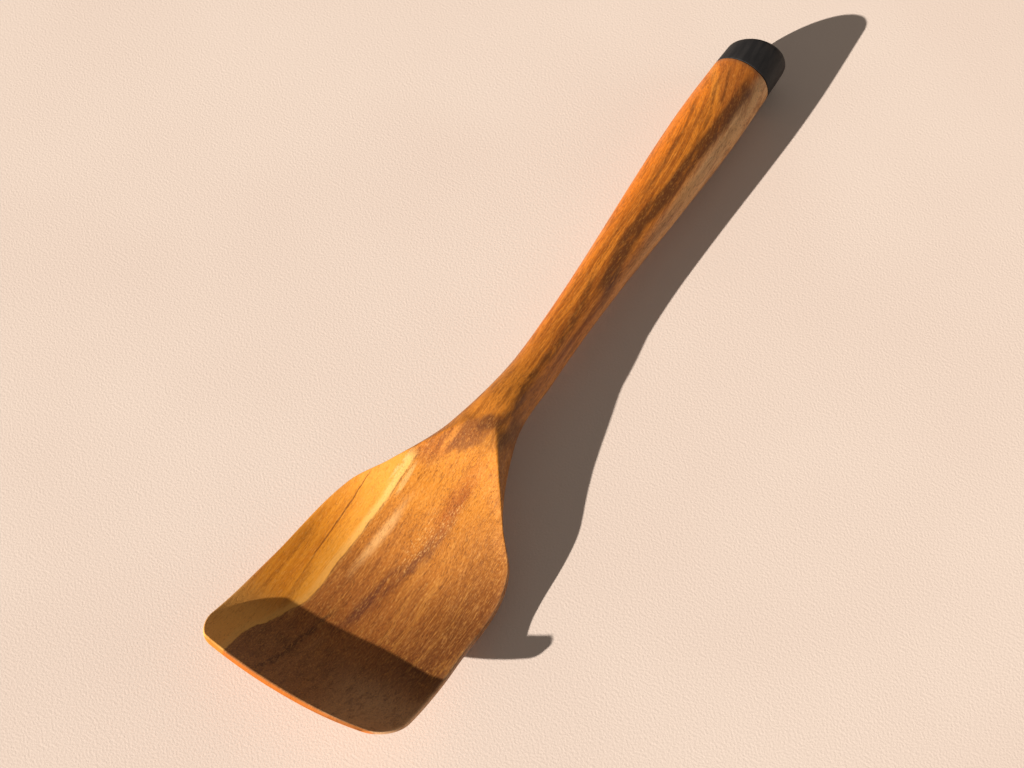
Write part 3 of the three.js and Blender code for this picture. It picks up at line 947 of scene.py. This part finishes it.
def handle_wood(figure):
    """Golden brown, redder on the left, paler on the right partly from paler wood and partly as a painted
    reflection of the lit floor, with dark streaks along the top.
    """
    tree, lay = figure.tree, figure.lay
    grip = tint(tree, figure.fibre("Streaks", 0.42, 0.58), colour(202, 116, 32), colour(156, 82, 20))
    grip = lay(grip, (218, 134, 42), 0.4, figure.over_length(14, 24), figure.over_length(64, 44))
    grip = lay(grip, (232, 122, 22), 0.7, figure.over_width(2, 9), figure.over_length(50, 84))
    grip = lay(grip, (124, 63, 17), 0.45, figure.mottled(0.5, 0.66))
    grip = lay(grip, (220, 138, 52), 0.26, figure.fibre("Lines", 0.55, 0.68))
    grip = lay(grip, (116, 58, 15), 0.42, figure.fibre("Lines", 0.44, 0.33))

    # Browner wood past a slanting line near the cap, with a golden band before it
    past_end = sums(tree, "SUBTRACT", wander(tree, figure.along, END_LINE), figure.drawn)
    grip = lay(grip, (154, 83, 29), 0.6, rise(tree, past_end, -0.7, 1.2), figure.over_length(186, 200))
    golden_band = band(tree, past_end, -2.0, 1.5, 2.0)
    grip = lay(grip, (212, 136, 50), 0.4, golden_band, figure.over_length(196, 208))

    # The pale right side: paler wood, brightened further by a painted reflection of the lit floor on this
    # shaded side
    pale_side_and_reflection = rise(tree, figure.drawn, -6.5, -11)
    streaked = rise(tree, figure.fibres["Streaks"], 0.62, 0.44, 0.4)
    paler_at_cap = figure.over_length(110, 190, 0.58, 0.95)
    grip = lay(grip, (220, 168, 110), paler_at_cap, pale_side_and_reflection, figure.over_length(6, 34), streaked)

    # Dark streaks along the top
    grip_streak = figure.trail(GRIP_STREAK, 1.0, 1.5)
    grip = lay(grip, (86, 47, 18), 0.72, grip_streak, figure.broken(0.36, 0.58, 0.35))
    hand_streak = figure.trail(HAND_STREAK, 3.0, 2.2, 14.0)
    grip = lay(grip, (82, 43, 17), 0.85, hand_streak, figure.mottled(0.34, 0.5, 0.6))
    for points in THIN_STREAKS:
        thin_streak = figure.trail(points, 0.5, 0.8)
        grip = lay(grip, (104, 54, 16), 0.7, thin_streak, figure.broken(0.36, 0.58, 0.3))
    return grip


def neck_lobes(figure, wood):
    """The figure swirls into brown lobes where the blade's face ends on the neck; on the neck's right
    flank its darker lobe carries painted shade as well.
    """
    tree, lay = figure.tree, figure.lay
    wood = lay(wood, (166, 92, 30), 0.45, figure.blotch((11, 11.8), (8.5, 3.4), -24, 0.3))
    large_lobe = figure.blotch((22, 3.2), (10, 4.6), -33, 0.25)
    wood = lay(wood, (130, 71, 28), 0.8, large_lobe, figure.broken(0.3, 0.5, 0.6))
    wood = lay(wood, (226, 140, 50), 0.65, figure.blotch((16.5, 9.4), (5.5, 1.1), -8, 0.5))
    wood = lay(wood, (92, 47, 16), 0.65, figure.blotch((28, -0.4), (6, 2.8), -36, 0.45))
    right_lobe_and_shade = figure.blotch((28, -7.5), (10, 3.6), -20, 0.5)
    wood = lay(wood, (82, 44, 19), 0.52, right_lobe_and_shade, figure.broken(0.3, 0.55, 0.4))

    # Darker under the right edge of the face: browner wood there with painted shade on the neck's right
    # flank
    wood = lay(wood, (72, 40, 18), 0.36, figure.trail(FACE_EDGE_LINE, 3.0, 1.6, 6.0))
    shaded_flank_beside_face = sums(tree, "SUBTRACT", wander(tree, figure.along, FACE_EDGE_LINE), figure.drawn)
    fades = figure.over_length(-4, 6), figure.over_length(48, 28)
    return lay(wood, (118, 76, 44), 0.65, rise(tree, shaded_flank_beside_face, 1.0, 4.0), *fades)


def fine_grain(figure, wood, coarse):
    """Pores, pale flecks and the finest grain, the dark ones as strong as the wood is coarse."""
    lay = figure.lay
    wood = lay(wood, (100, 52, 18), 0.4, figure.fibres["Pores"], coarse)
    wood = lay(wood, (242, 182, 106), figure.over_length(12, 40, 0.25, 0.06), figure.fibres["Flecks"])
    pale_grain = figure.fibre("Grain", 0.53, 0.7)
    wood = lay(wood, (240, 166, 80), figure.over_length(12, 40, 0.32, 0.18), pale_grain)
    return lay(wood, (92, 46, 14), 0.42, figure.fibre("Grain", 0.47, 0.3), coarse)


def oiled_wood():
    material, tree, shader, place = new_finish("oiled wood")
    figure = Figure(tree, place)
    blade, in_sap = blade_wood(figure)
    slanting = times(tree, figure.along, 0.6), times(tree, figure.across, 0.8)
    beyond_face = add(tree, *slanting, times(tree, figure.ripple, 3.0))
    past_neck = times(tree, rise(tree, beyond_face, 11.5, 15.5), figure.over_length(2, 9))
    wood = neck_lobes(figure, tint(tree, past_neck, blade, handle_wood(figure)))
    on_sapwood = times(tree, in_sap, sums(tree, "SUBTRACT", 1.0, past_neck))
    wood = fine_grain(figure, wood, rise(tree, on_sapwood, 0, 1, 1.0, 0.35))

    # Rubbed rims, paler along the right rim towards the front, where the pale strip is partly wear and
    # partly a painted reflection of the lit floor; and end grain on the front edge
    wear = use(tree, WORN, Place=place, Edge=mark(tree, "worn_edge"))["Wear"]
    rubbed = times(tree, figure.over_width(-28, -33, 0.3, 0.7), figure.over_length(-48, -68, 0.35))
    wood = figure.lay(wood, (214, 164, 116), rubbed, wear)
    end_grain = mark(tree, "end_grain")
    wood = figure.lay(wood, (178, 91, 15), 0.8, end_grain)
    # The light that it throws on the floor is less coloured than the oiled wood itself
    thrown = put(tree, "ShaderNodeLightPath").outputs["Is Diffuse Ray"]
    wood = figure.lay(wood, (150, 118, 94), 0.65, thrown)
    tree.links.new(wood, shader.inputs["Base Color"])

    polish = use(tree, POLISH, Place=place)["Polish"]
    rough_pores = times(tree, figure.fibres["Pores"], 0.12)
    rough = add(tree, rise(tree, polish, 0, 1, 0.56, 0.42), rough_pores, times(tree, wear, -0.06))
    tree.links.new(tint_value(tree, end_grain, rough, 1.0), shader.inputs["Roughness"])
    coat = rise(tree, polish, 0, 1, 0.02, 0.1)
    tree.links.new(tint_value(tree, end_grain, coat, 0.0), shader.inputs["Coat Weight"])
    shader.inputs["Coat Roughness"].default_value = 0.3
    shader.inputs["Specular IOR Level"].default_value = 0.28
    bump(tree, shader, figure.fibres["Height"], 0.0001)
    return material


def dark_horn():
    material, tree, shader, place = new_finish("dark horn")
    along = put(tree, "ShaderNodeSeparateXYZ", {"Vector": place}).outputs["X"]
    layers = cloud(tree, place, (14, 2.2, 2.6), (6.6, 2.4, 8.8), detail=4, roughness=0.6, warp=0.4)
    horn = tint(tree, rise(tree, layers, 0.38, 0.66), colour(29, 26, 25), colour(41, 37, 35))
    # Lighter brown at the rounded end, and lighter still where it is worn: partly horn layers and wear,
    # partly a painted highlight on that edge
    brown = times(tree, rise(tree, along, 234, 242), rise(tree, layers, 0.4, 0.6), 0.4)
    horn = tint(tree, brown, horn, colour(58, 46, 38))
    wear = use(tree, WORN, Place=place, Edge=mark(tree, "worn_edge"))["Wear"]
    horn = tint(tree, times(tree, wear, 0.25), horn, colour(70, 62, 56))
    tree.links.new(horn, shader.inputs["Base Color"])
    polish = use(tree, POLISH, Place=place)["Polish"]
    scratches = cloud(tree, place, (9, 0.22, 0.22), (3.7, 7.1, 0.9))
    rough = add(tree, rise(tree, polish, 0, 1, 0.66, 0.54), times(tree, scratches, 0.1))
    tree.links.new(rough, shader.inputs["Roughness"])
    shader.inputs["Specular IOR Level"].default_value = 0.3
    bump(tree, shader, add(tree, times(tree, scratches, 0.6), times(tree, layers, 0.4)), 0.00004)
    return material


def dowel_wood():
    material, tree, shader, place = new_finish("dowel wood")
    fibres = use(tree, FIBRES, Place=place, Pore_Width=0.16)
    streaks = rise(tree, fibres["Streaks"], 0.38, 0.62)
    wood = tint(tree, streaks, colour(222, 190, 142), colour(196, 158, 108))
    wood = tint(tree, times(tree, fibres["Pores"], 0.5), wood, colour(142, 106, 66))
    tree.links.new(wood, shader.inputs["Base Color"])
    polish = use(tree, POLISH, Place=place)["Polish"]
    tree.links.new(rise(tree, polish, 0, 1, 0.82, 0.68), shader.inputs["Roughness"])
    bump(tree, shader, fibres["Height"], 0.00008)
    return material


def glue():
    material, tree, shader, place = new_finish("cured glue")
    ripples = cloud(tree, place, (0.4, 1.6, 1.6), detail=3, roughness=0.6)
    film = tint(tree, rise(tree, ripples, 0.35, 0.65), colour(78, 52, 30), colour(112, 78, 44))
    tree.links.new(film, shader.inputs["Base Color"])
    polish = use(tree, POLISH, Place=place)["Polish"]
    tree.links.new(rise(tree, polish, 0, 1, 0.5, 0.32), shader.inputs["Roughness"])
    bump(tree, shader, ripples, 0.00005)
    return material


def pale_floor():
    material, tree, shader, place = new_finish("pale floor")
    pebbles = cloud(tree, place, (0.9, 0.9, 0.9))
    clouds = cloud(tree, place, (120, 120, 120))
    surface = tint(tree, rise(tree, clouds, 0.3, 0.7), colour(234, 211, 193), colour(231, 207, 189))
    tree.links.new(surface, shader.inputs["Base Color"])
    tree.links.new(rise(tree, pebbles, 0.3, 0.7, 0.6, 0.72), shader.inputs["Roughness"])
    shader.inputs["Specular IOR Level"].default_value = 0.25
    bump(tree, shader, pebbles, 0.0001)
    return material


# The pieces

blade_and_handle = carved_blade_and_handle()
blade_and_handle.data.materials.append(oiled_wood())
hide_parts("carved_blade_and_handle")
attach(blade_and_handle, "root")

horn_cap = end_cap()
horn_cap.data.materials.append(dark_horn())
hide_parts("end_cap")
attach(horn_cap, "root")

for node, finish in (("cap_dowel", dowel_wood()), ("glue_film", glue())):
    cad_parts[node].data.materials.clear()
    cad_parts[node].data.materials.append(finish)

# The floor, lights and camera

FLOOR_SIZE = 6.0
floor_mesh = bmesh.new()
bmesh.ops.create_grid(floor_mesh, x_segments=2, y_segments=2, size=FLOOR_SIZE / 2)
floor_data = bpy.data.meshes.new("floor")
floor_mesh.to_mesh(floor_data)
floor_mesh.free()
floor = bpy.data.objects.new("floor", floor_data)
bpy.context.scene.collection.objects.link(floor)
floor_data.materials.append(pale_floor())

KEY_ANGLE_ACROSS = math.radians(-21.94)
KEY_HEIGHT = math.radians(23.1)
KEY_SOFTNESS = math.radians(0.6)
KEY_STRENGTH = 7.4
KEY_COLOUR = (1.0, 0.99, 0.97)
FILL_ANGLE_ACROSS = math.radians(118)
FILL_HEIGHT = math.radians(20)
FILL_DISTANCE = 1.6
FILL_SIZE = 1.0
FILL_STRENGTH = 2.3
FILL_COLOUR = (1.0, 0.95, 0.9)
SURROUND_STRENGTH = 0.145
SURROUND_COLOUR = (1.0, 0.96, 0.92, 1.0)

CAMERA_AIM = Vector((57.25, 8.56, 0.0)) * MM
CAMERA_DISTANCE = 607.84 * MM
CAMERA_HEIGHT = math.radians(62.54)
CAMERA_ANGLE_ACROSS = math.radians(32.265)
CAMERA_LENS = 54.625
SENSOR_WIDTH = 36.0


def aimed(obj, location, target):
    """Places an object and points it at a target."""
    obj.location = location
    obj.rotation_euler = (target - location).to_track_quat("-Z", "Y").to_euler()
    bpy.context.scene.collection.objects.link(obj)


def travel(angle_across, height):
    """The direction in which light travels or the camera looks."""
    level = math.cos(height)
    return Vector((math.cos(angle_across) * level, math.sin(angle_across) * level, -math.sin(height)))


key = bpy.data.lights.new("key", "SUN")
key.energy = KEY_STRENGTH
key.angle = KEY_SOFTNESS
key.color = KEY_COLOUR
aimed(bpy.data.objects.new("key", key), CAMERA_AIM - travel(KEY_ANGLE_ACROSS, KEY_HEIGHT), CAMERA_AIM)

fill = bpy.data.lights.new("fill", "AREA")
fill.shape = "DISK"
fill.size = FILL_SIZE
fill.energy = FILL_STRENGTH
fill.color = FILL_COLOUR
fill_place = CAMERA_AIM - travel(FILL_ANGLE_ACROSS, FILL_HEIGHT) * FILL_DISTANCE
aimed(bpy.data.objects.new("fill", fill), fill_place, CAMERA_AIM)

world = bpy.data.worlds.new("soft surround")
world.use_nodes = True
surround = world.node_tree.nodes["Background"].inputs
surround["Color"].default_value = SURROUND_COLOUR
surround["Strength"].default_value = SURROUND_STRENGTH
bpy.context.scene.world = world
bpy.context.scene.view_settings.view_transform = "Standard"

lens = bpy.data.cameras.new("camera")
lens.lens = CAMERA_LENS
lens.sensor_width = SENSOR_WIDTH
camera = bpy.data.objects.new("camera", lens)
camera_place = CAMERA_AIM - travel(CAMERA_ANGLE_ACROSS, CAMERA_HEIGHT) * CAMERA_DISTANCE
aimed(camera, camera_place, CAMERA_AIM)
bpy.context.scene.camera = camera
